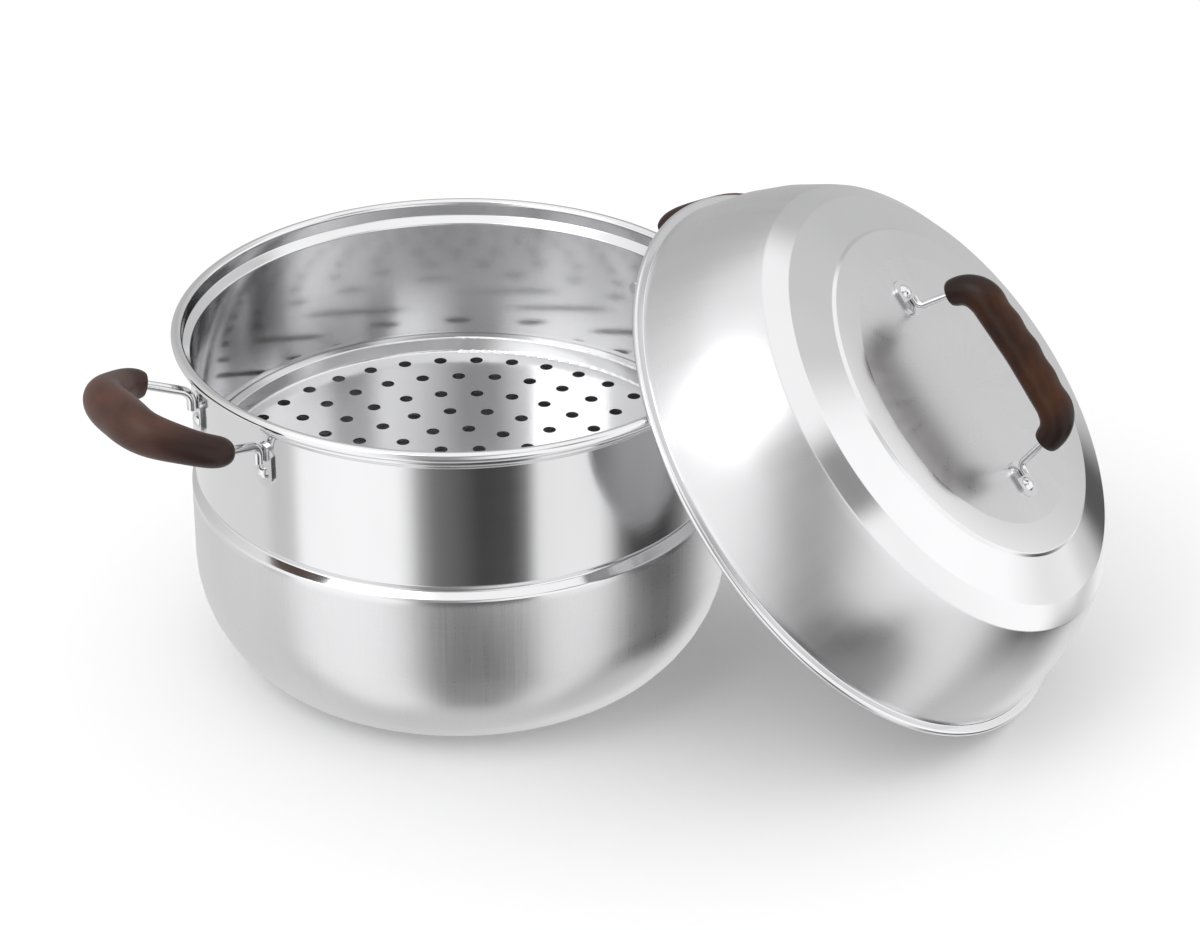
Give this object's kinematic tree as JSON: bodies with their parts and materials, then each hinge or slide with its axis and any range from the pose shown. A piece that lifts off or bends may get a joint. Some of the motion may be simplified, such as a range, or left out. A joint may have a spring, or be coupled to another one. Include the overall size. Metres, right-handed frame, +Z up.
{
  "type": "steamer pot",
  "caption": "Stainless steel steamer pot with a rolled rim, riveted wood-tone side grips, a lift-out perforated tray and a high domed lid that leans against it.",
  "frame": {"origin": "centre of the pot's flat base, on the surface that it stands on", "axes": "+Z up along the pot's axis, +X to the right of the picture towards the leaning lid, -Y towards the viewer"},
  "size_m": [0.5284, 0.3294, 0.2544],
  "materials": {
    "pot_steel": "stainless sheet, polished above the bead and satin with upright brushing below it",
    "tray_steel": "pressed stainless sheet, lightly polished",
    "lid_steel": "stainless sheet, satin wall and polished bands",
    "fitting_steel": "polished stainless rod, lugs and rivets",
    "side_grip": "smooth moulded grip in a grey-brown wood tone",
    "lid_grip": "smooth moulded grip in a dark red-brown wood tone"
  },
  "bodies": {
    "pot": {"pot_body": "pot_steel", "side_rod_left": "fitting_steel", "side_rod_right": "fitting_steel", "side_grip_left": "side_grip", "side_grip_right": "side_grip", "side_lug_left_front": "fitting_steel", "side_lug_left_back": "fitting_steel", "side_lug_right_front": "fitting_steel", "side_lug_right_back": "fitting_steel", "side_rivets": "fitting_steel"},
    "tray": {"steamer_tray": "tray_steel"},
    "lid": {"lid_shell": "lid_steel", "lid_rod": "fitting_steel", "lid_grip": "lid_grip", "lid_lug_upper": "fitting_steel", "lid_lug_lower": "fitting_steel", "lid_rivets": "fitting_steel"}
  },
  "joints": [
    {"name": "lid_lift", "type": "slide", "parent": "pot", "child": "lid", "axis": [0, 0, 1], "range_m": [0, 0.25]},
    {"name": "tray_lift", "type": "slide", "parent": "pot", "child": "tray", "axis": [0, 0, 1], "range_m": [0, 0.078]}
  ]
}
